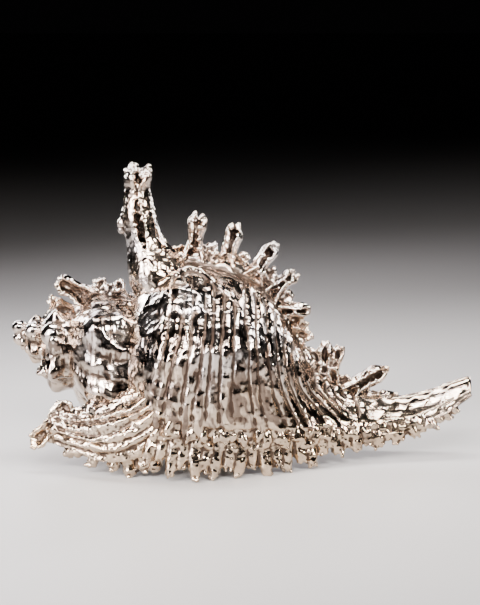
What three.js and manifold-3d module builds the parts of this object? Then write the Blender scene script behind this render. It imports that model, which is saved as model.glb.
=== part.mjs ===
// A silver-plated murex shell that lies on its aperture: the spire is at -X, the siphonal canal at +X
// and the tall spine stands up along +Z. Millimetres. The origin is on the surface it lies on, under
// the middle of its box.
//
// The shell is one coiled tube. A point of it is given by phi, the angle grown to in degrees (0 is the
// outer lip, one turn is 360 and the apex is about -1980), by u, the distance along the coiling axis
// from the apex, and by a radius from that axis. theta is the angle round the axis, from the top (0)
// over -Y.
import * as THREE from "three";
import Module from "manifold-3d";

const wasm = await Module();
wasm.setup();

// Driving dimensions
const LENGTH = 198; // apex to the tip of the canal
const APEX_X = -98;
const MIDDLE = { x: 1.05, y: 1.57 }; // of the box round the shell, with the axis still in the plane Y = 0
const LIP_THETA = 120; // where the outer lip stands
const VARIX_STEP = 120; // degrees from one varix to the next

// Height of the coiling axis over the surface at each u
const AXIS_HEIGHT = [
  [0, 55], [16, 51.5], [36, 47.6], [59, 43.3], [81, 39.4], [107, 32.5],
  [132, 24.8], [150, 21], [167, 20], [183, 23.8], [198, 30.8],
];
// How far the shell had grown at each phi: u of the shoulder, widest radius, length from the shoulder
// to the neck
const GROWTH = [
  [-1980, 1, 1.9, 3], [-1860, 1.4, 2.5, 4], [-1500, 3.6, 5, 9], [-1140, 8.2, 8.6, 17],
  [-780, 16.8, 17, 28], [-480, 30.3, 24.6, 51], [-420, 33.5, 28.5, 56], [-240, 48.5, 37.5, 69],
  [-120, 60, 44.5, 77], [0, 66, 47.5, 81],
];
// The whorl's profile: share f of its length from the shoulder (0) to the neck (1), share of its
// widest radius
const PROFILE = [
  [-0.25, 0.36], [-0.182, 0.58], [-0.13, 0.71], [-0.065, 0.85], [0, 0.94], [0.104, 0.99],
  [0.234, 1], [0.33, 0.98], [0.42, 0.94], [0.5, 0.86], [0.58, 0.745], [0.66, 0.59], [0.74, 0.42],
  [0.83, 0.29], [1, 0.2],
];
// Radius of the canal at each u
const CANAL_RADIUS = [
  [80, 14], [100, 13], [120, 10.5], [137, 8.8], [146, 8], [158, 6.9], [170, 6.3], [183, 5.8],
  [193, 5.2], [198, 4.4],
];
// Radius of the outer lip's edge at each u
const LIP_RADIUS = [
  [60, 43], [66, 46.5], [75, 49], [85, 48.5], [95, 45.5], [105, 41], [115, 36.5], [125, 31],
  [135, 24.5], [145, 19.5], [158, 14.6], [170, 11.5], [184, 9], [196, 5.6],
];

// Relief of the whorls
const VARIX_LIFT = 5.2; // on the last turn, less on the smaller ones
const LIP_BACK = 55; // degrees over which the outer lip flares
const VARIX_BACK = 15; // degrees over which a varix rises
const VARIX_FRONT = 6; // degrees over which it falls
const NODE_LIFT = 3.6; // the knob between two varices of the last turn
const SPIRE_NODE_SHARE = 0.17; // a knob of the spire, as a share of its radius
const KNOB_WIDTH = 15; // degrees
const BEAD_WIDTH = 11; // degrees, of a knob on the early spire
const CANAL_BLEND = 4; // how softly the whorl runs into the canal
const CORDS = 12; // spiral ribs from the suture to the neck
const CORD_HEIGHT = 0.9;
const CANAL_COLUMNS = 7;
const SMALLEST_STAGE = 14; // thirds of a turn, counted back from the lip

// Spines of the upper varix: u, length, lean towards the canal in degrees, width
const UPPER_SPINES = [
  [70.3, 17.5, 6, 8.5], [76, 7, 13, 5], [81.3, 16, 16, 8], [86.5, 6, 22, 5], [92.5, 15, 33, 8],
  [97, 7, 35, 5.5], [101, 12.5, 48, 7.5], [105, 7, 50, 5.5], [108, 11, 84, 7], [111.5, 7, 92, 5.5],
  [114.5, 7, 96, 5.5],
  [131.2, 13.5, 2, 6.5], [135, 14.5, 14, 6.5], [144, 19.5, 58, 8.5], [156, 10.5, 80, 5],
];
// Spines of the far varix, in the same way
const FAR_SPINES = [
  [50, 17, -6, 7], [59, 13, 4, 7], [68, 17, 8, 8], [77, 12, 12, 6], [93, 14, 30, 7],
  [101, 12, 48, 6], [109, 10, 75, 6], [130, 11, 20, 6], [144, 12, 48, 6],
];
// Spines of the spire: phi, u, length, lean, width
const SPIRE_SPINES = [
  [-480, 27, 14, -48, 8], [-480, 34, 5, -20, 6], [-480, 41, 5, 0, 6], [-360, 40, 7, -20, 7],
  [-600, 22, 14, -40, 7], [-600, 30, 9, -10, 6], [-720, 16.5, 9, -40, 5], [-840, 14, 4, -30, 4],
];
const FRINGE_SPACING = 7.4;
const FRINGE_FORWARD = 48; // degrees from the outward direction towards the way of growth
// Fringe of the lip: u, length of its spines, their lean, their width
const FRINGE = [
  [44, 8, -42, 5.5], [56, 11, -32, 5.8], [66, 14, -20, 6], [80, 17, -8, 6.2], [100, 16.5, 0, 6.2],
  [120, 14.5, 8, 6], [135, 11, 14, 5.6], [150, 8, 20, 5.2], [165, 6, 24, 5], [188, 4, 30, 4.6],
];
// Sizes along a spine: share of its length, share of its width or of its fold
const SPINE_WIDTH = [[0, 1.35], [0.25, 1], [0.6, 0.85], [0.85, 1.05], [1, 0.75]];
const SPINE_FOLD = [[0, 0.85], [0.5, 1.1], [1, 1]];
const TALL_SPINE_WIDTH = [
  [0, 1.6], [0.2, 1.35], [0.4, 1], [0.7, 0.84], [0.88, 0.72], [0.94, 0.85], [1, 0.6],
];
const FLARE_WIDTH = [[0, 0.7], [0.3, 0.95], [0.6, 1], [1, 0.8]];
// Fingers at the ragged end of the lip's flare: foot, ways they point at the foot and tip, length, width
const FLARE_FINGERS = [
  [[-76, -14, 20], [-0.7, 0.2, -0.6], [-0.6, 0.5, -0.9], 20, 7],
  [[-75, -17, 24], [-0.9, 0.1, 0.2], [-0.9, 0.3, 0], 7, 5],
  [[-76, -14, 12], [-0.9, 0.3, -0.5], [-0.5, 0.5, -0.9], 12, 6],
  [[-72, -17, 8], [-0.5, 0.2, -0.8], [-0.3, 0.4, -0.9], 10, 6],
];
// The hollow behind the lip: phi, its size, u of its middle
const APERTURE = [
  [6, 1.08, 99], [0, 1, 99], [-15, 0.92, 97], [-32, 0.8, 93], [-50, 0.62, 90], [-66, 0.38, 88],
];
const APERTURE_RADIUS = 30; // of its middle line, from the coiling axis
const APERTURE_SLANT = 0.3; // how much nearer the axis it gets for each step towards the canal
const APERTURE_HALF_LENGTH = 24;
const APERTURE_HALF_WIDTH = 10.5;
const CANAL_MOUTH = [[186, 1], [190, 2.6], [196, 3], [200, 3.4]]; // u, radius
const SLIT = { theta: 165, from: 132, to: 200, halfAngle: 6, innerHalfAngle: 3 };

const MINIMUM_WALL = 1.3;
const SMALLEST_STEP = 0.08; // finer facets than this are merged
// Degrees past a varix at which the coil has a section
const LAST_TURN_ROWS = [0, 5, 12, 28, 44, 54, 66, 78, 92, 105, 114, 120];
const SPIRE_ROWS = [0, 6, 16, 40, 60, 80, 98, 110, 120];
const EARLY_ROWS = [0, 20, 40, 60, 80, 100, 120];
const BURIED = { degrees: 4, inset: 1.5 }; // how a third of a turn starts inside the one before

const radians = THREE.MathUtils.degToRad;
const smoothstep = (low, high, x) => THREE.MathUtils.smoothstep(x, low, high);
const bell = (x, width) => Math.exp(-((x / width) ** 2));
const mix = (a, b, share) => a + (b - a) * share;
const vector = (x, y, z) => new THREE.Vector3(x, y, z);
const X_AXIS = vector(1, 0, 0);

// A smooth curve through column `column` of a table whose rows begin with x, held level past its ends.
function along(table, x, column = 1) {
  const last = table.length - 1;
  if (x <= table[0][0]) return table[0][column];
  if (x >= table[last][0]) return table[last][column];
  let i = 0;
  while (table[i + 1][0] < x) i++;
  const slope = (k) => {
    const a = table[Math.max(k - 1, 0)];
    const b = table[Math.min(k + 1, last)];
    return (b[column] - a[column]) / (b[0] - a[0]);
  };
  const w = table[i + 1][0] - table[i][0];
  const t = (x - table[i][0]) / w;
  const t2 = t * t;
  const t3 = t2 * t;
  return (
    table[i][column] * (2 * t3 - 3 * t2 + 1) + slope(i) * w * (t3 - 2 * t2 + t) +
    table[i + 1][column] * (3 * t2 - 2 * t3) + slope(i + 1) * w * (t3 - t2)
  );
}

const LOG_GROWTH = GROWTH.map(([phi, ...sizes]) => [phi, ...sizes.map(Math.log)]);
const shoulderU = (phi) => Math.exp(along(LOG_GROWTH, phi, 1));
const widest = (phi) => Math.exp(along(LOG_GROWTH, phi, 2));
const whorlLength = (phi) => Math.exp(along(LOG_GROWTH, phi, 3));
const profileU = (phi, f) => shoulderU(phi) + whorlLength(phi) * f;

// How far phi is past the varix nearest to it.
const pastVarix = (phi) => phi - VARIX_STEP * Math.round(phi / VARIX_STEP);

function varixBell(phi) {
  const past = pastVarix(phi);
  return bell(past, past < 0 ? VARIX_BACK : VARIX_FRONT);
}

// Knobs: one halfway between two varices, and on the early spire two, a third of the way from each.
function knobBell(phi) {
  const early = 1 - smoothstep(-640, -560, phi);
  const halfway = bell(Math.abs(pastVarix(phi)) - VARIX_STEP / 2, KNOB_WIDTH);
  const third = VARIX_STEP / 3;
  const beads = bell(phi - third * Math.round(phi / third), BEAD_WIDTH);
  return mix(halfway, beads, early);
}

function larger(a, b, blend) {
  const h = Math.max(blend - Math.abs(a - b), 0) / blend;
  return Math.max(a, b) + (h * h * blend) / 4;
}

// Radius of the outside at phi and u; cord is 1 on a spiral rib and -1 between two.
function outerRadius(phi, u, cord = 0) {
  const scale = widest(phi) / widest(-VARIX_STEP);
  const f = (u - shoulderU(phi)) / whorlLength(phi);
  const over = smoothstep(-0.16, 0.02, f);
  const taper = 1 - smoothstep(0.75, 1.05, f);
  const spire = 1 - smoothstep(-420, -330, phi);
  const varix = VARIX_LIFT * scale * varixBell(phi) * over * mix(0.45, 1, taper);
  const lift = mix(NODE_LIFT, SPIRE_NODE_SHARE * widest(phi), spire);
  const knob = lift * knobBell(phi) * bell(f - mix(0.3, 0.02, spire), mix(0.3, 0.13, spire));
  const rib = CORD_HEIGHT * Math.sqrt(scale) * cord * smoothstep(-0.2, -0.05, f);
  const whorl = f < 1.05 ? widest(phi) * along(PROFILE, f) + varix + knob + rib : 0;
  const canal = along(CANAL_RADIUS, u) * smoothstep(50, 80, u) * smoothstep(-380, -350, phi);
  const radius = larger(whorl, canal, CANAL_BLEND);
  const flare = smoothstep(-LIP_BACK, 0, phi) ** 1.5 * smoothstep(-0.1, 0.06, f);
  return mix(radius, along(LIP_RADIUS, u) + rib, flare);
}

// The point at angle theta round the axis, u along it and that radius from it.
function axial(theta, u, radius) {
  const step = 0.5;
  const slope = (along(AXIS_HEIGHT, u + step) - along(AXIS_HEIGHT, u - step)) / (2 * step);
  const tilt = Math.atan(slope);
  const up = radius * Math.cos(radians(theta));
  const across = radius * Math.sin(radians(theta));
  const height = along(AXIS_HEIGHT, u) + up * Math.cos(tilt);
  return vector(APEX_X + u - up * Math.sin(tilt), -across, height);
}

const coiled = (phi, u, radius) => axial(LIP_THETA + phi, u, radius);
const outwards = (theta) => vector(0, -Math.sin(radians(theta)), Math.cos(radians(theta)));
const growthWay = (theta) => vector(0, -Math.cos(radians(theta)), -Math.sin(radians(theta)));

function solidOf(points, faces) {
  const share = ([a, b, c]) => points[a].dot(points[b].clone().cross(points[c]));
  const volume = faces.reduce((sum, face) => sum + share(face), 0);
  const facing = volume < 0 ? faces.map(([a, b, c]) => [a, c, b]) : faces;
  return new wasm.Manifold(new wasm.Mesh({
    numProp: 3,
    vertProperties: new Float32Array(points.flatMap((p) => p.toArray())),
    triVerts: new Uint32Array(facing.flat()),
  }));
}

// A closed solid through rings of points. The second half of a ring runs back beside its first half,
// and the two end rings are closed by strips between the halves.
function solidOfRings(rings) {
  const around = rings[0].length;
  const faces = [];
  for (let i = 0; i + 1 < rings.length; i++) {
    for (let j = 0; j < around; j++) {
      const a = i * around + j;
      const b = i * around + ((j + 1) % around);
      faces.push([a, b, b + around], [a, b + around, a + around]);
    }
  }
  const last = (rings.length - 1) * around;
  for (let j = 0; j + 1 < around / 2; j++) {
    const back = around - 1 - j;
    faces.push([j, back - 1, j + 1], [j, back, back - 1]);
    faces.push([last + j, last + j + 1, last + back - 1]);
    faces.push([last + j, last + back - 1, last + back]);
  }
  return solidOf(rings.flat(), faces);
}

// A three.js geometry as a solid, its repeated corners made one.
function solidOfGeometry(geometry) {
  const position = geometry.getAttribute("position");
  const points = [];
  const known = new Map();
  const corners = Array.from({ length: position.count }, (_, i) => {
    const p = vector(0, 0, 0).fromBufferAttribute(position, i);
    const key = p.toArray().map((x) => x.toFixed(4)).join();
    if (!known.has(key)) known.set(key, points.push(p) - 1);
    return known.get(key);
  });
  const faces = [];
  for (let i = 0; i < geometry.index.count; i += 3) {
    const face = [0, 1, 2].map((k) => corners[geometry.index.getX(i + k)]);
    if (new Set(face).size === 3) faces.push(face);
  }
  return solidOf(points, faces);
}

// Shares of the profile from the suture to the neck, evenly spaced along its curve.
function evenShares(count) {
  const fine = 400;
  const low = PROFILE[0][0];
  const shares = Array.from({ length: fine + 1 }, (_, i) => mix(low, 1, i / fine));
  const run = [0];
  for (let i = 1; i <= fine; i++) {
    const rise = (along(PROFILE, shares[i]) - along(PROFILE, shares[i - 1])) * widest(-VARIX_STEP);
    run.push(run[i - 1] + Math.hypot(rise, (shares[i] - shares[i - 1]) * whorlLength(-VARIX_STEP)));
  }
  return Array.from({ length: count + 1 }, (_, k) => {
    const target = (run[fine] * k) / count;
    const i = Math.max(run.findIndex((x) => x >= target - 1e-9), 1);
    return mix(shares[i - 1], shares[i], (target - run[i - 1]) / (run[i] - run[i - 1]));
  });
}

// The whorl's section at phi, filled in to the axis. inset draws it in, to be buried in the next piece.
function whorlRing(phi, shares, canalColumns, inset = 0) {
  const reach = shares.map((f) => profileU(phi, f));
  const neck = reach[reach.length - 1];
  for (let k = 1; k <= canalColumns; k++) reach.push(mix(neck, LENGTH, k / canalColumns));
  const outside = reach.map((u, k) => {
    const cord = k < shares.length ? (k % 2) * 2 - 1 : 0;
    return coiled(phi, u, outerRadius(phi, u, cord) - inset);
  });
  return [...outside, ...reach.map((u) => axial(0, u, 0)).reverse()];
}

function lastTurn() {
  const shares = evenShares(2 * CORDS);
  return [3, 2, 1].map((stage) => {
    const phi = -VARIX_STEP * stage;
    const rings = LAST_TURN_ROWS.map((offset) => whorlRing(phi + offset, shares, CANAL_COLUMNS));
    rings.unshift(whorlRing(phi - BURIED.degrees, shares, CANAL_COLUMNS, BURIED.inset));
    return solidOfRings(rings);
  });
}

function spire() {
  const stages = [];
  const shares = evenShares(17).slice(0, 12);
  for (let stage = 4; stage <= SMALLEST_STAGE; stage++) {
    const phi = -VARIX_STEP * stage;
    const rows = stage < 6 ? SPIRE_ROWS : EARLY_ROWS;
    const rings = rows.map((offset) => whorlRing(phi + offset, shares, 0));
    if (stage < SMALLEST_STAGE) {
      rings.unshift(whorlRing(phi - BURIED.degrees, shares, 0, BURIED.inset));
    }
    stages.push(solidOfRings(rings));
  }
  return stages;
}

// A rod along the axis, so that the thirds of a turn meet in solid material.
function core() {
  const reach = Array.from({ length: 20 }, (_, i) => mix(1, LENGTH - 1, i / 19));
  return solidOfRings(reach.map((u) => {
    const radius = Math.min(0.8 + 0.1 * u, 3);
    return [0, 60, 120, 180, 240, 300].map((theta) => axial(theta, u, radius));
  }));
}

// A folded spine: a gutter along a bending line, its hollow side turned to `open`. first and last are
// the ways it points at its foot and tip, fold is how far it is wrapped round, 90 for a half pipe.
function spine({
  foot,
  first,
  last,
  length,
  width,
  open,
  fold = 95,
  points = 5,
  stations = 5,
  sunk = 4,
  widths = SPINE_WIDTH,
  ribs = 0,
  thickness = 0.28,
}) {
  const whole = length + sunk;
  const start = foot.clone().addScaledVector(first, -sunk);
  const rings = [];
  for (let i = 0; i < stations; i++) {
    const t = i / (stations - 1);
    const pointing = first.clone().multiplyScalar(1 - t).addScaledVector(last, t).normalize();
    const centre = start.clone().addScaledVector(first, whole * t * (1 - t / 2));
    centre.addScaledVector(last, (whole * t * t) / 2);
    const hollow = open.clone().addScaledVector(pointing, -open.dot(pointing)).normalize();
    const side = pointing.clone().cross(hollow);
    const radius = (width / 2) * along(widths, t);
    const half = fold * along(SPINE_FOLD, t);
    const wall = Math.min(Math.max(MINIMUM_WALL, thickness * radius), 0.8 * radius);
    const arc = (distance) => Array.from({ length: points }, (_, j) => {
      const angle = radians(mix(-half, half, j / (points - 1)));
      const reach = distance + (j % 2) * ribs;
      const point = centre.clone().addScaledVector(hollow, 0.3 * radius - reach * Math.cos(angle));
      return point.addScaledVector(side, reach * Math.sin(angle));
    });
    rings.push([...arc(radius), ...arc(radius - wall).reverse()]);
  }
  return solidOfRings(rings);
}

const surface = (phi, u, depth = 0) => coiled(phi, u, outerRadius(phi, u) - depth);

// The way a spine at angle theta points when it leans towards the canal, and forward in the way of
// growth.
function leaning(theta, lean, forward = 0) {
  const up = outwards(theta).multiplyScalar(Math.cos(radians(forward)))
    .addScaledVector(growthWay(theta), Math.sin(radians(forward)));
  up.multiplyScalar(Math.cos(radians(lean)));
  return up.addScaledVector(X_AXIS, Math.sin(radians(lean)));
}

function varixSpines(phi, rows, forward) {
  const theta = LIP_THETA + phi;
  return rows.map(([u, length, lean, width]) => {
    const small = length < 12;
    return spine({
      foot: surface(phi, u, 1),
      first: leaning(theta, 0.8 * lean, forward),
      last: leaning(theta, 1.2 * lean, forward),
      length,
      width,
      open: growthWay(theta),
      fold: small ? 80 : 95,
      points: small ? 3 : 5,
      stations: small ? 3 : 4,
    });
  });
}

// The tall spine at the shoulder of the upper varix, rolled nearly shut.
function tallSpine() {
  return spine({
    foot: surface(-120, 55, 2),
    first: vector(-0.52, 0.05, 0.85),
    last: vector(0.12, -0.05, 0.98).normalize(),
    length: 48.5,
    width: 16,
    open: vector(0.25, -1, 0),
    fold: 150,
    points: 7,
    stations: 7,
    sunk: 7,
    widths: TALL_SPINE_WIDTH,
    thickness: 0.3,
  });
}

function fringe() {
  const solids = [];
  const first = FRINGE[0][0];
  const last = FRINGE[FRINGE.length - 1][0];
  for (let u = first; u <= last; u += FRINGE_SPACING) {
    const lean = along(FRINGE, u, 2);
    const onWing = Math.max(66 - u, 0);
    const foot = surface(-2, Math.max(u, 66), 2);
    foot.add(vector(-onWing, 0.3 * onWing, -0.05 * onWing));
    solids.push(spine({
      foot,
      first: leaning(LIP_THETA, 0.7 * lean, FRINGE_FORWARD),
      last: leaning(LIP_THETA, 1.3 * lean, FRINGE_FORWARD + 10),
      length: along(FRINGE, u, 1),
      width: along(FRINGE, u, 3),
      open: growthWay(LIP_THETA),
      fold: 75,
      points: 3,
      stations: 2,
      sunk: 3,
    }));
  }
  return solids;
}

// The lip's flare towards the spire: a broad ribbed sheet, ragged at its end.
function lipFlare() {
  const sheet = spine({
    foot: vector(-38, -33, 17),
    first: vector(-1, -0.12, -0.03).normalize(),
    last: vector(-0.8, 0.6, -0.1).normalize(),
    length: 42,
    width: 30,
    open: vector(0.15, 0.95, -0.3).normalize(),
    fold: 64,
    points: 11,
    sunk: 10,
    widths: FLARE_WIDTH,
    ribs: 0.9,
    thickness: 0.2,
  });
  const fingers = FLARE_FINGERS.map(([foot, first, last, length, width]) => spine({
    foot: vector(...foot),
    first: vector(...first).normalize(),
    last: vector(...last).normalize(),
    length,
    width,
    open: vector(0.2, 0.9, -0.4).normalize(),
    fold: 85,
    points: 4,
    stations: 3,
  }));
  return [sheet, ...fingers];
}

// The far varix ends in two longer spines on which the shell leans.
function farLegs() {
  const theta = LIP_THETA - 240;
  return [
    [42, 44, 11, leaning(theta, -16, 0), leaning(theta, 4, -46)],
    [85, 29, 9, leaning(theta, 6, 0), leaning(theta, 10, -50)],
  ].map(([u, length, width, first, last]) => spine({
    foot: surface(-240, u, 1),
    first,
    last,
    length,
    width,
    open: growthWay(theta),
    fold: 120,
  }));
}

// Spines of the spire's varices.
function spireSpines() {
  return SPIRE_SPINES.map(([phi, u, length, lean, width]) => spine({
    foot: surface(phi, u, 0.6),
    first: leaning(LIP_THETA + phi, lean),
    last: leaning(LIP_THETA + phi, 1.5 * lean),
    length,
    width,
    open: growthWay(LIP_THETA + phi),
    fold: 85,
    points: 3,
    stations: 2,
    sunk: 2.5,
  }));
}

// The hollow behind the lip, bending back into the last turn.
function aperture() {
  const points = 12;
  return solidOfRings(APERTURE.map(([phi, size, middle]) =>
    Array.from({ length: points }, (_, j) => {
      const angle = (2 * Math.PI * (j + 0.5)) / points;
      const u = middle + APERTURE_HALF_LENGTH * size * Math.cos(angle);
      const slant = APERTURE_RADIUS - APERTURE_SLANT * (u - middle);
      return coiled(phi, u, slant + APERTURE_HALF_WIDTH * size * Math.sin(angle));
    }),
  ));
}

// The open end of the canal, and the slit along its underside.
function canalHollow() {
  const mouth = solidOfRings(CANAL_MOUTH.map(([u, radius]) =>
    Array.from({ length: 12 }, (_, j) => axial(15 + 30 * j, u, radius)),
  ));
  const { theta, halfAngle, innerHalfAngle } = SLIT;
  const corners = [[-halfAngle, 14], [halfAngle, 14], [innerHalfAngle, 2.4], [-innerHalfAngle, 2.4]];
  const slit = solidOfRings(Array.from({ length: 6 }, (_, i) => {
    const u = mix(SLIT.from, SLIT.to, i / 5);
    return corners.map(([degrees, radius]) => axial(theta + degrees * (8 / radius), u, radius));
  }));
  return [mouth, slit];
}

const firstWhorl = new THREE.SphereGeometry(4, 10, 7).translate(APEX_X + 3, 0, 55.4);
const apex = solidOfGeometry(firstWhorl);
const ground = solidOfGeometry(new THREE.BoxGeometry(400, 400, 60).translate(0, 0, -30));

const grown = wasm.Manifold.union([...lastTurn(), ...spire(), core(), apex]);
const hollowed = grown.subtract(wasm.Manifold.union([aperture(), ...canalHollow()]));
const spines = [
  tallSpine(),
  ...varixSpines(-120, UPPER_SPINES, -4),
  ...varixSpines(-240, FAR_SPINES, 0),
  ...farLegs(),
  ...fringe(),
  ...lipFlare(),
  ...spireSpines(),
];
const whole = wasm.Manifold.union([hollowed, ...spines]).subtract(ground);
const largestOf = (solid) => solid.decompose().sort((a, b) => b.volume() - a.volume())[0];
const finished = largestOf(largestOf(whole).simplify(SMALLEST_STEP)).getMesh();

const geometry = new THREE.BufferGeometry();
geometry.setAttribute("position", new THREE.BufferAttribute(finished.vertProperties, 3));
geometry.setIndex(new THREE.BufferAttribute(finished.triVerts, 1));
geometry.translate(-MIDDLE.x, -MIDDLE.y, 0);
const silver = new THREE.MeshStandardMaterial({ color: 0xd9d2ca, metalness: 1, roughness: 0.15 });
const shell = new THREE.Mesh(geometry, silver);
shell.name = "shell";
const group = new THREE.Group();
group.add(shell);
export default group;
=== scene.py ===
"""A silver-plated murex shell, lying on its aperture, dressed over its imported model."""

import math

import bpy
import numpy as np
from bpy.props import FloatProperty, FloatVectorProperty, IntProperty, PointerProperty
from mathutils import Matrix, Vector


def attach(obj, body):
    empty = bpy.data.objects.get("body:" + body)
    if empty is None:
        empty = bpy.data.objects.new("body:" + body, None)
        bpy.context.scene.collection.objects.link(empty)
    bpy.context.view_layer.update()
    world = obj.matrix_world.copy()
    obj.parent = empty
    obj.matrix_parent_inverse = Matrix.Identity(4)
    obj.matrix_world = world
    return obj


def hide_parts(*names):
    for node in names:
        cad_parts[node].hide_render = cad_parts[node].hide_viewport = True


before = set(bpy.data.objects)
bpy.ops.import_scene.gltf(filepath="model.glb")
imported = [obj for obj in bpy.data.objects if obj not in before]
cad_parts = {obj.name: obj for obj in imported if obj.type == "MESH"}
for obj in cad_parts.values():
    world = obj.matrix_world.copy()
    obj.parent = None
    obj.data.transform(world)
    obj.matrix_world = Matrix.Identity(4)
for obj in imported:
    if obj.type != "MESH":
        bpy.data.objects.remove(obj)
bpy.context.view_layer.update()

bl_info = {
    "name": "Murex shell",
    "version": (1, 0, 0),
    "blender": (4, 5, 0),
    "location": "View3D > Sidebar > Shell",
    "description": "Builds a silver-plated murex shell and the stage it is shown on",
    "category": "Add Mesh",
}

# The coil, in millimetres, as in the part's source.
# phi is the angle grown to in degrees: 0 at the outer lip, one turn is 360. u is the distance from the apex
# along the coiling axis. theta is the angle round the axis, from the top (0) over -Y.
LENGTH = 198.0
APEX_X = -98.0
MIDDLE = (1.05, 1.57, 0.0)
LIP_THETA = 120.0
VARIX_STEP = 120.0
AXIS_HEIGHT = (
    (0, 55), (16, 51.5), (36, 47.6), (59, 43.3), (81, 39.4), (107, 32.5),
    (132, 24.8), (150, 21), (167, 20), (183, 23.8), (198, 30.8),
)
GROWTH = (
    (-1980, 1, 1.9, 3), (-1860, 1.4, 2.5, 4), (-1500, 3.6, 5, 9), (-1140, 8.2, 8.6, 17),
    (-780, 16.8, 17, 28), (-480, 30.3, 24.6, 51), (-420, 33.5, 28.5, 56), (-240, 48.5, 37.5, 69),
    (-120, 60, 44.5, 77), (0, 66, 47.5, 81),
)
LOG_GROWTH = tuple((row[0], *(math.log(x) for x in row[1:])) for row in GROWTH)
PROFILE = (
    (-0.25, 0.36), (-0.182, 0.58), (-0.13, 0.71), (-0.065, 0.85), (0, 0.94), (0.104, 0.99), (0.234, 1),
    (0.33, 0.98), (0.42, 0.94), (0.5, 0.86), (0.58, 0.745), (0.66, 0.59), (0.74, 0.42), (0.83, 0.29),
    (1, 0.2),
)
CANAL_RADIUS = (
    (80, 14), (100, 13), (120, 10.5), (137, 8.8), (146, 8), (158, 6.9), (170, 6.3), (183, 5.8), (193, 5.2),
    (198, 4.4),
)
LIP_RADIUS = (
    (60, 43), (66, 46.5), (75, 49), (85, 48.5), (95, 45.5), (105, 41), (115, 36.5), (125, 31), (135, 24.5),
    (145, 19.5), (158, 14.6), (170, 11.5), (184, 9), (196, 5.6),
)
VARIX_LIFT = 5.2
VARIX_BACK = 15.0
VARIX_FRONT = 6.0
LIP_BACK = 55.0
NODE_LIFT = 3.6
SPIRE_NODE_SHARE = 0.17
# Radius and length of the whorl at the crest.
CREST_RADIUS = 44.5
CREST_LENGTH = 77
# From the rim of the canal's open end to the bottom of its hollow: u and radius.
CANAL_MOUTH = (
    (198.5, 4.1), (198.6, 3.6), (198, 3.2), (196, 2.9), (193, 2.7), (190, 2.4), (187.5, 1.6), (186.5, 0.7),
)
# The hollow behind the lip: phi, its size, and u of its middle.
APERTURE = ((-66, 0.38, 88), (-50, 0.62, 90), (-32, 0.8, 93), (-15, 0.92, 97), (0, 1, 99), (2, 1.1, 99))
# Its oval at the lip: u and radius of the middle, half the length and half the height, and its slant.
OVAL_U = 99
OVAL_RADIUS = 30
OVAL_HALF = (24, 10.5)
OVAL_SLANT = 0.3
# The lip's edge, from the outside in to the oval: share of the way, and phi.
LIP_EDGE = (
    (0.02, 0.5), (0.05, 0.8), (0.1, 0.8), (0.18, 0.4), (0.3, -0.3), (0.5, -0.8), (0.75, -0.6), (0.92, 0.2),
)
# Pieces of the last turn: name, phi of the far end, rows, and columns on the whorl and on the canal.
LAST_TURN = (
    ("whorl_front", -120, 150, 345, 125), ("whorl_back", -240, 150, 330, 120),
    ("whorl_under", -360, 150, 330, 120),
)
# How deep the rows that run on under a neighbour lie.
BURIED = np.array([0.03, 0.12, 0.3, 0.6, 1.2])
# Rows of the spire: phi from, to and step.
SPIRE_SPANS = ((-1980, -1080, 5.0), (-1080, -720, 2.2), (-720, -360, 1.25), (-360, -353, 0.8))
SPIRE_COLUMNS = 150

# The raised edge of an older lip, under the crest: u and phi.
OLD_EDGE = (
    (46, -97), (50, -97), (54, -95.5), (60, -95), (66, -99), (72, -104), (77, -96), (83, -87), (92, -78),
)
# Lumps and hollows: phi, u, height, half width along the axis and half width round it.
LUMPS = (
    (-43, 70, 3.0, 8, 7), (-50, 83, 2.2, 6, 6), (-68, 60, -2.4, 6, 5), (-66, 73, -2.6, 7, 5),
    (-84, 68, 1.2, 5, 3), (-772, 17, 2.4, 4, 4.5), (-734, 20, 1.7, 3.5, 6), (-806, 15, 1.5, 3.5, 3.5),
    (-692, 24, 1.2, 3.5, 3), (-415, 31, 1.0, 5, 8), (-388, 37, 1.6, 4, 3), (-370, 30, 1.4, 4, 3),
    (-430, 44, 1.7, 4, 4), (-405, 49, 1.6, 4, 4), (-446, 36, 1.2, 4, 4), (-372, 45, 1.5, 4, 4),
    (-350, 38, -1.2, 4, 5), (-460, 48, 1.3, 4, 3), (-395, 43, -0.9, 3, 4), (-1139, 7, 0.8, 3, 3),
)

# Spines of the upper varix: u, length, lean towards the canal in degrees, width.
UPPER_SPINES = (
    (70.3, 17.5, 6, 8.5), (76, 7, 13, 5), (81.3, 16, 16, 8), (86.5, 6, 22, 5), (92.5, 15, 33, 8),
    (97, 7, 35, 5.5), (101, 12.5, 48, 7.5), (105, 7, 50, 5.5), (108, 11, 84, 7), (111.5, 7, 92, 5.5),
    (114.5, 7, 96, 5.5), (131.2, 13.5, 2, 6.5), (135, 14.5, 14, 6.5), (144, 19.5, 58, 8.5),
    (156, 10.5, 80, 5),
)
FAR_SPINES = (
    (50, 17, -6, 7), (59, 13, 4, 7), (68, 17, 8, 8), (77, 12, 12, 6), (93, 14, 30, 7), (101, 12, 48, 6),
    (109, 10, 75, 6), (130, 11, 20, 6), (144, 12, 48, 6),
)
# Spines of the spire: phi, u, length, lean, width.
SPIRE_SPINES = (
    (-480, 27, 14, -48, 9.5), (-480, 34, 5, -20, 6), (-480, 41, 5, 0, 6), (-360, 40, 7, -20, 7),
    (-600, 22, 14, -40, 7), (-600, 30, 9, -10, 6), (-720, 17, 4, -30, 7), (-840, 14, 3, -20, 5),
)
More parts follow.
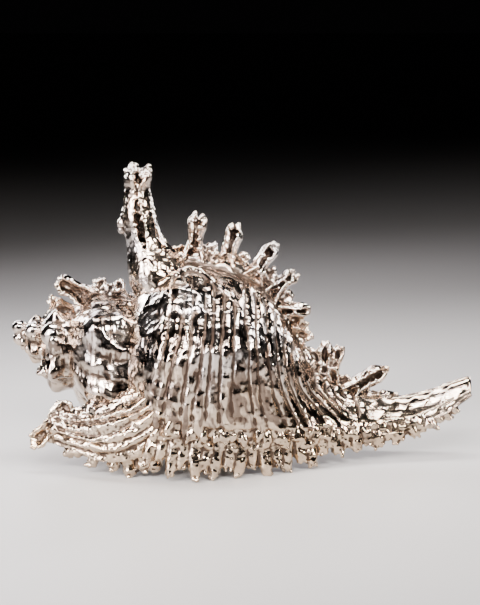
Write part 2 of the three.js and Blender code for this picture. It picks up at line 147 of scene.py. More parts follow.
# Smooth knobs of the spire: x, y, z and radius, before the move to the middle.
SPIRE_KNOBS = (
    (-95.5, -2, 57.4, 3.2), (-95.3, -2, 52.6, 3.3), (-89.1, -6, 56.6, 3.8), (-91, -4.5, 48.6, 2.4),
    (-79.6, -14.2, 56.6, 5.5), (-78.5, -14.8, 46.8, 4.4), (-78.5, -15, 43.2, 4.6), (-78.5, -13.6, 39.8, 4.3),
    (-84.5, -9, 49, 2.8),
)
# Lean of the frills between the spines: u, and degrees.
UPPER_FRILL_LEANS = (60, 80, 100, 108, 120, 128, 160), (0, 12, 45, 85, 95, 20, 70)
FAR_FRILL_LEANS = (46, 70, 95, 105, 118, 128, 156), (-5, 10, 40, 75, 90, 20, 60)
# Fringe of the lip: u, length of its spines, their lean, their width.
FRINGE = (
    (44, 8, -42, 4.4), (56, 11, -32, 4.6), (66, 14, -20, 4.8), (80, 16.5, -8, 4.9), (100, 15.5, 0, 4.9),
    (120, 14, 8, 4.8), (135, 11, 14, 4.6), (150, 8, 20, 4.2), (165, 6.5, 24, 4), (188, 4.5, 30, 3.6),
)
# How far the fringe points in the way of growth, in degrees.
FRINGE_FORWARD = 44
# The rolls of the lip's flare, and the fingers along its edge: foot, way at the foot and at the tip, length,
# width and the way that the hollow faces.
ROLLS = 6
TO_CAMERA = (-0.3, -0.9, 0.3)
INWARDS = (0.0, 0.9, -0.4)
FINGERS = (
    ((-75.5, -27, 24.5), (-0.6, 0.0, -0.8), (-0.72, 0.0, -0.66), 18.5, 7.6, TO_CAMERA),
    ((-72, -25, 23), (-0.3, 0.0, 0.95), (-0.5, 0.1, 0.85), 8, 7.5, TO_CAMERA),
    ((-72, -23, 12), (-0.95, 0.2, -0.1), (-0.9, 0.3, 0.15), 7, 6, INWARDS),
    ((-68, -26, 9), (-0.9, 0.2, -0.25), (-0.9, 0.3, 0.1), 8, 6, INWARDS),
    ((-61, -31, 8), (-0.4, -0.1, -0.9), (-0.6, 0.0, -0.8), 6, 5, INWARDS),
    ((-53, -35, 9), (0.1, -0.1, -0.95), (-0.1, 0.0, -0.95), 7, 5.5, INWARDS),
    ((-47, -37, 10), (0.15, -0.1, -0.95), (0.3, 0.0, -0.95), 10, 6.5, INWARDS),
    ((-41, -38, 11), (0.1, -0.1, -0.95), (0.1, 0.1, -0.95), 9, 6, INWARDS),
    ((-36, -39, 12), (0.1, -0.1, -0.95), (0.1, 0.1, -0.95), 10, 6, INWARDS),
)
# Width and fold of a spine along its length, the step between its points and the waves of its rims.
SPINE_WIDTH = ((0, 1.45), (0.25, 1.05), (0.6, 0.86), (0.85, 0.98), (0.95, 0.86), (1, 0.6))
SPINE_FOLD = ((0, 0.85), (0.5, 1.1), (1, 1.0))
POINT_STEP = 0.75
RIM_WAVES = (3.1, 1.9)

# The relief, in metres. Scales of noise are per metre across the ribs and per degree along them.
RIDGE_LEVEL = 0.6
WANDER_SIZE = 1.7
WANDER = 0.0009
UNEVEN_SCALES = (120.0, 0.012)
UNEVEN = 0.0038
STREAK_SCALES = (310.0, 0.06)
STREAK_SHARE = 0.9
GROWTH_LINE_SCALES = (0.45, 160.0)
SPINE_LUMP_SIZE = 0.0032
SPINE_GRAIN_SIZE = 0.0015
RECESS_BLUR = 14

# The stage: the floor in millimetres, and the frame's height in metres at the middle of the shell.
FLOOR_HALF = 9000
FLOOR_TOP = -0.05
AIM_HEIGHT = 68.0
FRAME_HEIGHT = 0.262
# Lights: name, place, width, height, power, spread and colour.
LIGHTS = (
    ("strip_left", (-0.45, -0.45, 0.36), 0.08, 0.4, 1.3, 60, (1.0, 0.93, 0.86)),
    ("fill_left", (-0.75, -0.5, 0.3), 0.5, 0.5, 1.3, 50, (0.97, 0.93, 1.0)),
    ("fill_front", (-0.25, -0.85, 0.85), 0.6, 0.5, 0.5, 40, (0.97, 0.93, 1.0)),
    ("fill_back", (-0.25, 0.9, 0.6), 1.0, 0.5, 0.9, 40, (0.97, 0.93, 1.0)),
    ("strip_right", (0.5, -0.42, 0.4), 0.06, 0.36, 1.0, 60, (1.0, 0.92, 0.85)),
    ("strip_front", (-0.05, -0.7, 0.52), 0.4, 0.06, 0.9, 45, (1.0, 0.96, 0.95)),
    ("overhead", (0.0, 0.02, 0.56), 0.46, 0.12, 1.3, 75, (1.0, 0.97, 0.95)),
    ("back_right", (0.45, 0.5, 0.3), 0.08, 0.36, 0.6, 60, (0.96, 0.96, 1.0)),
    ("back_left", (-0.5, 0.42, 0.3), 0.08, 0.36, 0.6, 60, (0.96, 0.96, 1.0)),
)


def along(table, x, column=1):
    """A smooth curve through a column of a table whose rows begin with x, held level past its ends."""
    rows = np.asarray(table, float)
    xs, ys = rows[:, 0], rows[:, column]
    slope = np.empty_like(ys)
    slope[1:-1] = (ys[2:] - ys[:-2]) / (xs[2:] - xs[:-2])
    slope[0] = (ys[1] - ys[0]) / (xs[1] - xs[0])
    slope[-1] = (ys[-1] - ys[-2]) / (xs[-1] - xs[-2])
    x = np.clip(np.asarray(x, float), xs[0], xs[-1])
    i = np.clip(np.searchsorted(xs, x, side="right") - 1, 0, len(xs) - 2)
    w = xs[i + 1] - xs[i]
    t = (x - xs[i]) / w
    return (
        ys[i] * (2 * t**3 - 3 * t**2 + 1)
        + slope[i] * w * (t**3 - 2 * t**2 + t)
        + ys[i + 1] * (3 * t**2 - 2 * t**3)
        + slope[i + 1] * w * (t**3 - t**2)
    )


def smoothstep(low, high, x):
    t = np.clip((x - low) / (high - low), 0, 1)
    return t * t * (3 - 2 * t)


def bell(x, width):
    return np.exp(-((x / width) ** 2))


def mix(a, b, share):
    return a + (b - a) * share


def shoulder_u(phi):
    return np.exp(along(LOG_GROWTH, phi, 1))


def widest(phi):
    return np.exp(along(LOG_GROWTH, phi, 2))


def whorl_length(phi):
    return np.exp(along(LOG_GROWTH, phi, 3))


def past_varix(phi):
    return phi - VARIX_STEP * np.round(phi / VARIX_STEP)


def larger(a, b, blend):
    h = np.maximum(blend - np.abs(a - b), 0) / blend
    return np.maximum(a, b) + h * h * blend / 4


def outer_radius(phi, u):
    """Radius of the outside without its ribs, as in the part's source."""
    past = past_varix(phi)
    scale = widest(phi) / CREST_RADIUS
    f = (u - shoulder_u(phi)) / whorl_length(phi)
    over = smoothstep(-0.16, 0.02, f)
    taper = 1 - smoothstep(0.75, 1.05, f)
    spire = 1 - smoothstep(-420, -330, phi)
    varix = VARIX_LIFT * scale * bell(past, np.where(past < 0, VARIX_BACK, VARIX_FRONT))
    varix = varix * over * mix(0.45, 1, taper)
    early = 1 - smoothstep(-640, -560, phi)
    third = VARIX_STEP / 3
    beads = bell(phi - third * np.round(phi / third), 11)
    knobs = mix(bell(np.abs(past) - VARIX_STEP / 2, 15), beads, early)
    lift = mix(NODE_LIFT, SPIRE_NODE_SHARE * widest(phi), spire)
    knob = lift * knobs * bell(f - mix(0.3, 0.02, spire), mix(0.3, 0.13, spire))
    whorl = np.where(f < 1.05, widest(phi) * along(PROFILE, f) + varix + knob, 0)
    canal = along(CANAL_RADIUS, u) * smoothstep(50, 80, u) * smoothstep(-380, -350, phi)
    radius = larger(whorl, canal, 4)
    flare = smoothstep(-LIP_BACK, 0, phi) ** 1.5 * smoothstep(-0.1, 0.06, f)
    return mix(radius, along(LIP_RADIUS, u), flare)


def tilt_of(u):
    return np.arctan(along(AXIS_HEIGHT, u + 0.5) - along(AXIS_HEIGHT, u - 0.5))


def axial(theta, u, radius):
    """Points at angle theta round the axis, u along it and that radius from it."""
    theta, u, radius = np.broadcast_arrays(np.radians(theta), u, radius)
    tilt = tilt_of(u)
    up = radius * np.cos(theta)
    x = APEX_X + u - up * np.sin(tilt)
    z = along(AXIS_HEIGHT, u) + up * np.cos(tilt)
    return np.stack([x, -radius * np.sin(theta), z], -1)


def coiled(phi, u, radius):
    return axial(LIP_THETA + phi, u, radius)


def surface(phi, u, depth=0.0):
    return coiled(phi, u, outer_radius(np.float64(phi), np.float64(u)) - depth)


def outwards(theta):
    return np.array([0.0, -math.sin(math.radians(theta)), math.cos(math.radians(theta))])


def growth_way(theta):
    return np.array([0.0, -math.cos(math.radians(theta)), -math.sin(math.radians(theta))])


def unit(v):
    v = np.asarray(v, float)
    return v / np.linalg.norm(v, axis=-1, keepdims=True)


def leaning(theta, lean, forward=0.0):
    """The way a spine points at theta when it leans towards the canal, and forward in the way of growth."""
    f, a = math.radians(forward), math.radians(lean)
    up = outwards(theta) * math.cos(f) + growth_way(theta) * math.sin(f)
    return up * math.cos(a) + np.array([math.sin(a), 0.0, 0.0])


# Meshes from arrays


class Mould:
    """Collects closed surfaces and the places of beads, to become one mesh."""

    def __init__(self):
        self.points = []
        self.faces = []
        self.count = 0
        self.beads = []

    def add(self, points, faces):
        self.points.append(points)
        self.faces.extend([tuple(i + self.count for i in face) for face in faces])
        self.count += len(points)


def side_faces(rows, around):
    """Quads from each ring of a stack to the next."""
    i = np.arange(rows - 1)[:, None] * around
    j = np.arange(around)[None, :]
    k = (j + 1) % around
    quads = np.stack([i + j, i + k, i + k + around, i + j + around], -1).reshape(-1, 4)
    return [tuple(q) for q in quads.tolist()]


def ring_faces(rows, around):
    """Quads round a stack of rings, and strips between the two halves of the end rings."""
    faces = side_faces(rows, around)
    last = (rows - 1) * around
    for j in range(around // 2 - 1):
        back = around - 1 - j
        faces.append((j, back, back - 1, j + 1))
        faces.append((last + j, last + j + 1, last + back - 1, last + back))
    return faces


def mesh_object(name, points, faces, attributes=None):
    """An object from points in millimetres, with its faces turned outwards."""
    mesh = bpy.data.meshes.new(name)
    mesh.from_pydata(((np.asarray(points) - MIDDLE) * 0.001).tolist(), [], faces)
    for key, values in (attributes or {}).items():
        values = np.asarray(values, np.float32)
        kind, field = ("FLOAT_VECTOR", "vector") if values.ndim == 2 else ("FLOAT", "value")
        mesh.attributes.new(key, kind, "POINT").data.foreach_set(field, values.ravel())
    mesh.polygons.foreach_set("use_smooth", [True] * len(mesh.polygons))
    mesh.update()
    obj = bpy.data.objects.new(name, mesh)
    bpy.context.scene.collection.objects.link(obj)
    if volume_of(mesh) < 0:
        mesh.flip_normals()
    return obj


def volume_of(mesh):
    mesh.calc_loop_triangles()
    corners = np.empty(len(mesh.loop_triangles) * 3, np.int32)
    mesh.loop_triangles.foreach_get("vertices", corners)
    places = np.empty(len(mesh.vertices) * 3)
    mesh.vertices.foreach_get("co", places)
    a, b, c = places.reshape(-1, 3)[corners].reshape(-1, 3, 3).transpose(1, 0, 2)
    return float(np.einsum("ij,ij->i", a, np.cross(b, c)).sum() / 6)


def make_plain(obj):
    """Turns an object's modifiers into a plain mesh, flat where it meets the ground."""
    graph = bpy.context.evaluated_depsgraph_get()
    evaluated = obj.evaluated_get(graph)
    mesh = bpy.data.meshes.new_from_object(evaluated, preserve_all_data_layers=True, depsgraph=graph)
    old = obj.data
    obj.modifiers.clear()
    obj.data = mesh
    bpy.data.meshes.remove(old)
    places = np.empty(len(mesh.vertices) * 3)
    mesh.vertices.foreach_get("co", places)
    places[2::3] = np.maximum(places[2::3], 0.0)
    mesh.vertices.foreach_set("co", places)
    mesh.polygons.foreach_set("use_smooth", [True] * len(mesh.polygons))
    mesh.update()


def hand_over(obj):
    """Attaches the piece to the root body and hides the imported shell part that it stands for."""
    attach(obj, "root")
    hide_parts("shell")


def dress(obj, tree, values):
    """Raises the relief on a piece, makes it plain and hands it over."""
    use_tree(obj, tree, values)
    make_plain(obj)
    hand_over(obj)


# Node trees


def node(tree, kind, inputs=None, **settings):
    made = tree.nodes.new(kind)
    for key, value in settings.items():
        setattr(made, key, value)
    for key, value in (inputs or {}).items():
        if isinstance(value, bpy.types.NodeSocket):
            tree.links.new(value, made.inputs[key])
        else:
            made.inputs[key].default_value = value
    return made


def calc(tree, operation, *values):
    return node(tree, "ShaderNodeMath", dict(enumerate(values)), operation=operation).outputs[0]


def times(tree, a, b):
    return calc(tree, "MULTIPLY", a, b)


def plus(tree, a, b):
    return calc(tree, "ADD", a, b)


def vector_calc(tree, operation, first, second, result="Vector"):
    inputs = {0: first, "Scale" if operation == "SCALE" else 1: second}
    return node(tree, "ShaderNodeVectorMath", inputs, operation=operation).outputs[result]


def new_tree(name, numbers):
    """A tree whose inputs are a geometry, numbers with their defaults, and a material."""
    tree = bpy.data.node_groups.new(name, "GeometryNodeTree")
    tree.is_modifier = True
    add = tree.interface.new_socket
    add("Geometry", in_out="INPUT", socket_type="NodeSocketGeometry")
    for label, default in numbers.items():
        add(label, in_out="INPUT", socket_type="NodeSocketFloat").default_value = default
    add("Material", in_out="INPUT", socket_type="NodeSocketMaterial")
    add("Geometry", in_out="OUTPUT", socket_type="NodeSocketGeometry")
    return tree, tree.nodes.new("NodeGroupInput"), tree.nodes.new("NodeGroupOutput")


def use_tree(obj, tree, values):
    modifier = obj.modifiers.new(tree.name, "NODES")
    modifier.node_group = tree
    for item in tree.interface.items_tree:
        if item.item_type == "SOCKET" and item.in_out == "INPUT" and item.name in values:
            modifier[item.identifier] = values[item.name]


def noise(tree, place, size, seed, detail=2.0):
    """Noise about zero whose bumps are about `size` metres wide."""
    inputs = {"Vector": place, "W": seed, "Detail": detail, "Roughness": 0.5}
    inputs["Scale"] = calc(tree, "DIVIDE", 1.0, size)
    made = node(tree, "ShaderNodeTexNoise", inputs, noise_dimensions="4D")
    return times(tree, calc(tree, "SUBTRACT", made.outputs[0], 0.5), 2.0)


def lumps_and_grain(tree, put, grain_step=0.0):
    """The height of lumps with a finer grain on them."""
    place = node(tree, "GeometryNodeInputPosition").outputs[0]
    lump = times(tree, noise(tree, place, put["Lump Size"], put["Seed"]), put["Lump Height"])
    grain_seed = plus(tree, put["Seed"], grain_step)
    grain = times(tree, noise(tree, place, put["Grain Size"], grain_seed), put["Grain Height"])
    return plus(tree, lump, grain)


def named(tree, name, kind="FLOAT"):
    return node(tree, "GeometryNodeInputNamedAttribute", {"Name": name}, data_type=kind).outputs[0]


def store(tree, geometry, name, value):
    """Stores a value on the points of a mesh."""
    inputs = {"Geometry": geometry, "Name": name, "Value": value}
    return node(tree, "GeometryNodeStoreNamedAttribute", inputs, data_type="FLOAT", domain="POINT").outputs[0]


def close_tree(tree, geometry, source, output):
    """Realizes instances and sets the material."""
    real = node(tree, "GeometryNodeRealizeInstances", {"Geometry": geometry})
    dressed = node(
        tree, "GeometryNodeSetMaterial", {"Geometry": real.outputs[0], "Material": source.outputs["Material"]}
    )
    tree.links.new(dressed.outputs[0], output.inputs[0])


def finish_tree(tree, geometry, source, output):
    """Stores how deep each point lies among its neighbours, in millimetres, which the material uses for
    painted shade in recesses, and closes the tree.
    """
    place = node(tree, "GeometryNodeInputPosition").outputs[0]
    inputs = {"Value": place, "Iterations": RECESS_BLUR}
    blurred = node(tree, "GeometryNodeBlurAttribute", inputs, data_type="FLOAT_VECTOR")
    normal = node(tree, "GeometryNodeInputNormal").outputs[0]
    apart = vector_calc(tree, "SUBTRACT", blurred.outputs[0], place)
    depth = times(tree, vector_calc(tree, "DOT_PRODUCT", apart, normal, result="Value"), 1000.0)
    close_tree(tree, store(tree, geometry, "recess", depth), source, output)


def whorl_relief_tree():
    """Ribs, threads, growth lines and lumps on the coil, raised along its stored outward direction."""
    tree, source, output = new_tree(
        "Whorl relief",
        {
            "Rib Height": 0.0008, "Rib Spacing": 0.0045, "Thread Height": 0.0001,
            "Growth Line Height": 0.0003, "Lump Height": 0.0006, "Lump Size": 0.006, "Grain Height": 0.0002,
            "Grain Size": 0.002, "Seed": 3.0,
        },
    )
    put = source.outputs
    place = node(tree, "GeometryNodeInputPosition").outputs[0]
    across, grown, ribbed, free = (named(tree, key) for key in ("across", "grown", "ribbed", "free"))

    def drawn_out(first, second, scales, detail):
        """Noise over two coordinates, each with its own scale."""
        inputs = {0: times(tree, first, scales[0]), 1: times(tree, second, scales[1])}
        return noise(tree, node(tree, "ShaderNodeCombineXYZ", inputs).outputs[0], 1.0, put["Seed"], detail)

    def ridges(turn, in_each, height):
        """Round ridges with sharp grooves between them, some in each rib's width."""
        wave = calc(tree, "ABSOLUTE", calc(tree, "COSINE", times(tree, turn, in_each * math.pi)))
        return times(tree, calc(tree, "SUBTRACT", wave, RIDGE_LEVEL), height)

    wander = noise(tree, place, times(tree, put["Lump Size"], WANDER_SIZE), put["Seed"], detail=1.0)
    uneven = drawn_out(across, grown, UNEVEN_SCALES, 1.0)
    strayed = plus(tree, plus(tree, across, times(tree, wander, WANDER)), times(tree, uneven, UNEVEN))
    turn = calc(tree, "DIVIDE", strayed, put["Rib Spacing"])
    streak = drawn_out(strayed, grown, STREAK_SCALES, 2.0)
    strength = plus(tree, 1.0, times(tree, streak, STREAK_SHARE))
    rib = times(tree, ridges(turn, 1, put["Rib Height"]), strength)
    ribs = times(tree, plus(tree, rib, ridges(turn, 4, put["Thread Height"])), ribbed)
    lines = times(tree, drawn_out(grown, across, GROWTH_LINE_SCALES, 3.0), put["Growth Line Height"])
    height = times(tree, plus(tree, plus(tree, ribs, lines), lumps_and_grain(tree, put, 7.0)), free)
    offset = vector_calc(tree, "SCALE", named(tree, "out", "FLOAT_VECTOR"), height)
    moved = node(tree, "GeometryNodeSetPosition", {"Geometry": put["Geometry"], "Offset": offset})
    # The streak noise is also stored for the material, which paints dark reflections where it is low.
    finish_tree(tree, store(tree, moved.outputs[0], "streak", times(tree, streak, ribbed)), source, output)
    return tree


def bead_tree():
    """Sets a small ball on every loose point, as large as its bead attribute says."""
    tree, source, output = new_tree("Rim beads", {"Bead Scale": 1.0})
    bead = named(tree, "bead")
    chosen = node(tree, "FunctionNodeCompare", {"A": bead, "B": 0.00001}, operation="GREATER_THAN").outputs[0]
    parted = node(tree, "GeometryNodeSeparateGeometry", {"Geometry": source.outputs[0], "Selection": chosen})
    ball = node(tree, "GeometryNodeMeshIcoSphere", {"Radius": 1.0, "Subdivisions": 2})
    size = times(tree, bead, source.outputs["Bead Scale"])
    inputs = {"Points": parted.outputs[0], "Instance": ball.outputs[0], "Scale": size}
    placed = node(tree, "GeometryNodeInstanceOnPoints", inputs)
    joined = node(tree, "GeometryNodeJoinGeometry")
    tree.links.new(parted.outputs[1], joined.inputs[0])
    tree.links.new(placed.outputs[0], joined.inputs[0])
    close_tree(tree, joined.outputs[0], source, output)
    return tree


def crinkle_tree():
    """Lumps and grain on the spines, raised along their normals."""
    tree, source, output = new_tree(
        "Spine crinkle",
        {
            "Lump Height": 0.0005, "Lump Size": 0.003, "Grain Height": 0.0002, "Grain Size": 0.0014,
            "Seed": 3.0,
        },
    )
    put = source.outputs
    normal = node(tree, "GeometryNodeInputNormal").outputs[0]
    offset = vector_calc(tree, "SCALE", normal, lumps_and_grain(tree, put))
    moved = node(tree, "GeometryNodeSetPosition", {"Geometry": put["Geometry"], "Offset": offset})
    finish_tree(tree, moved.outputs[0], source, output)
    return tree


# The coil


def even_shares(count, high=1.0):
    """Shares of the whorl's profile evenly spaced along its curve, from the suture to `high`."""
    fine = np.linspace(PROFILE[0][0], high, 2000)
    step = np.hypot(np.diff(along(PROFILE, fine)) * CREST_RADIUS, np.diff(fine) * CREST_LENGTH)
    run = np.concatenate([[0], np.cumsum(step)])
    return np.interp(np.linspace(0, run[-1], count), run, fine)


def lamellae(phi, u, f):
    """Old lip edges: low frills that follow each varix, and folds just before the outer lip."""
    past = np.mod(phi, VARIX_STEP)
    edge = np.zeros(np.broadcast(phi, u).shape)
    for at, height in ((3.2, 0.6), (7.0, 0.5), (11.5, 0.4), (17.5, 0.5)):
        ragged = 0.8 * np.sin(u * 0.9 + at) + 0.5 * np.sin(u * 0.37 + 2 * at)
        rise = past - at - ragged
        edge += height * np.where(rise < 0, bell(rise, 2.2), bell(rise, 0.7))
    before = VARIX_STEP - past
    for at, height in ((8.0, 0.5), (14.0, 0.5), (22.0, 0.4)):
        edge += height * bell(before - at - 0.7 * np.sin(u * 0.6 + at), 1.3)
    return edge * smoothstep(-0.14, 0.0, f) * (1 - 0.7 * smoothstep(0.7, 1.1, f))


def lumps(phi, u, radius):
    height = 0 * u
    for at_phi, at_u, rise, half_along, half_round in LUMPS:
        arc = np.radians(phi - at_phi) * radius
        height = height + rise * bell(u - at_u, half_along) * bell(arc, half_round)
    past_edge = phi - along(OLD_EDGE, u) - 0.8 * np.sin(0.8 * u)
    edge = np.where(past_edge < 0, bell(past_edge, 7), bell(past_edge, 1.1))
    return height + 1.5 * edge * smoothstep(44, 50, u) * (1 - smoothstep(84, 94, u))


def canal_folds(phi, u):
    """Low folds that run slantwise down the canal."""
    turn = (u + 0.16 * phi + 1.2 * np.sin(0.05 * phi)) / 8.5
    fold = 1 - np.abs(np.sin(np.pi * turn)) ** 0.7
    return 0.3 * fold * smoothstep(132, 146, u) * (1 - smoothstep(188, 197, u))


def dressed_radius(phi, u):
    """The outside with the forms that the part's source leaves out."""
    f = (u - shoulder_u(phi)) / whorl_length(phi)
    scale = widest(phi) / CREST_RADIUS
    radius = outer_radius(phi, u)
    last = smoothstep(-430, -370, phi)
    radius = radius + lamellae(phi, u, f) * scale * last + lumps(phi, u, radius) + canal_folds(phi, u)
    radius = radius + 1.3 * scale * bell(f + 0.14, 0.035) * last
    near_lip = smoothstep(-0.05, 0.1, f)
    radius = radius - 0.5 * bell(phi + 9, 4.5) * near_lip + 0.7 * bell(phi + 1, 2) * near_lip
    theta = np.mod(LIP_THETA + phi, 360)
    slit = bell((theta - 166) * np.radians(1) * np.maximum(radius, 4), 1.1)
    slit = slit * smoothstep(126, 142, u) * smoothstep(-358, -340, phi) * (phi < -240)
    return radius - slit * np.minimum(4.5, radius - 1.5)


def rib_coordinate(phi, places):
    """Distance along X, spread out towards the lip, that sets where the ribs run."""
    spread = 0.34 * smoothstep(-75, 0, phi)
    middle = -6.0
    return middle + (places[..., 0] - middle) * (1 - spread)


def coil_mesh(phi, shares, canal_count, inset):
    """A length of the coil, filled in to the axis: its points, ring size, attributes, u and radius."""
    phi = np.asarray(phi, float)[:, None]
    u = shoulder_u(phi) + whorl_length(phi) * shares[None, :]
    if canal_count:
        share = (np.arange(canal_count) + 1) / canal_count
        u = np.concatenate([u, mix(u[:, -1:], LENGTH, share[None, :])], 1)
    radius = dressed_radius(phi, u) - np.asarray(inset)[:, None]
    f = (u - shoulder_u(phi)) / whorl_length(phi)
    past = np.mod(phi, VARIX_STEP)
    before = VARIX_STEP - past
    # Where ribs run: over the whorl, fading near the suture, the canal, the varices and the apex.
    ribbed = smoothstep(-0.12, 0.06, f) * (1 - 0.93 * smoothstep(0.8, 1.05, f))
    ribbed = ribbed * mix(0.25, 1, smoothstep(6, 26, past)) * mix(0.8, 1, smoothstep(2, 12, before))
    x = coiled(phi, u, radius)[..., 0]
    ribbed = ribbed * (1 - 0.7 * (1 - smoothstep(-16, -6, x)) * (1 - smoothstep(46, 66, past)))
    # The smoother band that the older lip's edge leaves under the crest.
    past_edge = phi - along(OLD_EDGE, u)
    band = (1 - smoothstep(-3, 2, past_edge)) * smoothstep(44, 50, u) * (1 - smoothstep(84, 96, u))
    band = band * (phi > -122)
    ribbed = ribbed * (1 - 0.85 * band)
    free = mix(1, 0.22, smoothstep(0.95, 1.2, f)) * (1 - 0.4 * band)

    def widen(values, added):
        return np.concatenate([values, np.broadcast_to(added, (len(phi), np.shape(added)[-1]))], 1)

    if canal_count:
        mouth = np.array(CANAL_MOUTH)
        u, radius = widen(u, mouth[:, 0]), widen(radius, mouth[:, 1])
        free, ribbed = widen(free, np.full(len(mouth), 0.3)), widen(ribbed, np.zeros(len(mouth)))
    share = np.linspace(0, 1, 24 if canal_count else 6)[None, :]
    u = widen(u, mix(u[:, -1:], u[:, :1], share))
    radius, free, ribbed = (widen(values, 0 * share) for values in (radius, free, ribbed))
    points = coiled(phi, u, radius)
    theta = np.radians(LIP_THETA + phi)
    tilt = tilt_of(u)
    out = np.stack([-np.cos(theta) * np.sin(tilt), -np.sin(theta) + 0 * u, np.cos(theta) * np.cos(tilt)], -1)
    extra = {
        "out": out.reshape(-1, 3),
        "across": rib_coordinate(phi, points).ravel() * 0.001,
        "grown": (phi + 0 * u).ravel(),
        "ribbed": ribbed.ravel(),
        "free": free.ravel(),
    }
    return points.reshape(-1, 3), u.shape[1], extra, u, radius


def cap_faces(u, outer_count, first, end):
    """Triangles across a section, from its outer edge to the chain of its mouth and axis."""
    outer = list(range(outer_count))[::-1]
    inner = list(range(outer_count, len(u)))
    faces = []
    i = j = 0
    while i + 1 < len(outer) or j + 1 < len(inner):
        inner_done = j + 1 == len(inner)
        if inner_done or (i + 1 < len(outer) and u[outer[i + 1]] > u[inner[j + 1]]):
            faces.append((outer[i + 1], outer[i], inner[j]))
            i += 1
        else:
            faces.append((outer[i], inner[j], inner[j + 1]))
            j += 1
    return [tuple(k + first for k in (face if end else face[::-1])) for face in faces]


def third_rows(start, count):
    """Rows from one varix to the next, closest together half way."""
    t = np.linspace(0, 1, count)
    return start + VARIX_STEP * np.clip(t + 0.055 * np.sin(2 * np.pi * t), 0, 1)


def whorl_third(name, start, rows, columns, canal_count, relief, values):
    """A third of the last turn. Its far end runs on under its neighbour, so that no gap shows."""
    buried = start - 0.6 * (np.arange(len(BURIED)) + 1)
    phi = np.concatenate([buried[::-1], third_rows(start, rows)])
    inset = np.concatenate([BURIED[::-1], np.zeros(rows)])
    points, around, extra, u, radius = coil_mesh(phi, even_shares(columns), canal_count, inset)
    faces = side_faces(len(phi), around) + cap_faces(u[0], columns + canal_count, 0, False)
    if start == -VARIX_STEP:
        points, faces, extra = add_aperture(points, faces, extra, u[-1], radius[-1], around)
    else:
        faces += cap_faces(u[-1], columns + canal_count, (len(phi) - 1) * around, True)
    dress(mesh_object(name, points, faces, extra), relief, values)


def add_aperture(points, faces, extra, u, radius, around):
    """Closes the lip's end with a rounded edge, the face inside it and the hollow of the aperture."""
    half_u, half_radius = OVAL_HALF
    from_middle = u - OVAL_U
    angle = np.arctan2((radius - OVAL_RADIUS + OVAL_SLANT * from_middle) / half_radius, from_middle / half_u)

    def oval(middle, size):
        off = half_u * size * np.cos(angle)
        return middle + off, OVAL_RADIUS - OVAL_SLANT * off + half_radius * size * np.sin(angle)

    rings = []
    for share, phi in LIP_EDGE:
        oval_u, oval_radius = oval(OVAL_U, 1)
        rings.append((phi, mix(u, oval_u, share), mix(radius, oval_radius, share)))
    for phi in np.concatenate([np.linspace(0.4, -4, 6), np.linspace(-6, -66, 26)]):
        folds = 1 - 0.02 * (np.cos(angle * 22) > 0.2) * smoothstep(-30, -8, phi) * (np.sin(angle) > 0.1)
        rings.append((phi, *oval(along(APERTURE, phi, 2), along(APERTURE, phi, 1) * folds)))
    base = len(points) - around
    added = [coiled(*ring) for ring in rings]
    faces = faces + [tuple(i + base for i in face) for face in side_faces(len(added) + 1, around)]
    end = base + len(added) * around
    faces.append(tuple(range(end, end + around)))
    padded = {}
    for key, values in extra.items():
        filler = np.zeros((len(added) * around, *values.shape[1:]))
        padded[key] = np.concatenate([values, filler])
    return np.concatenate([points, *added]), faces, padded


# Spines


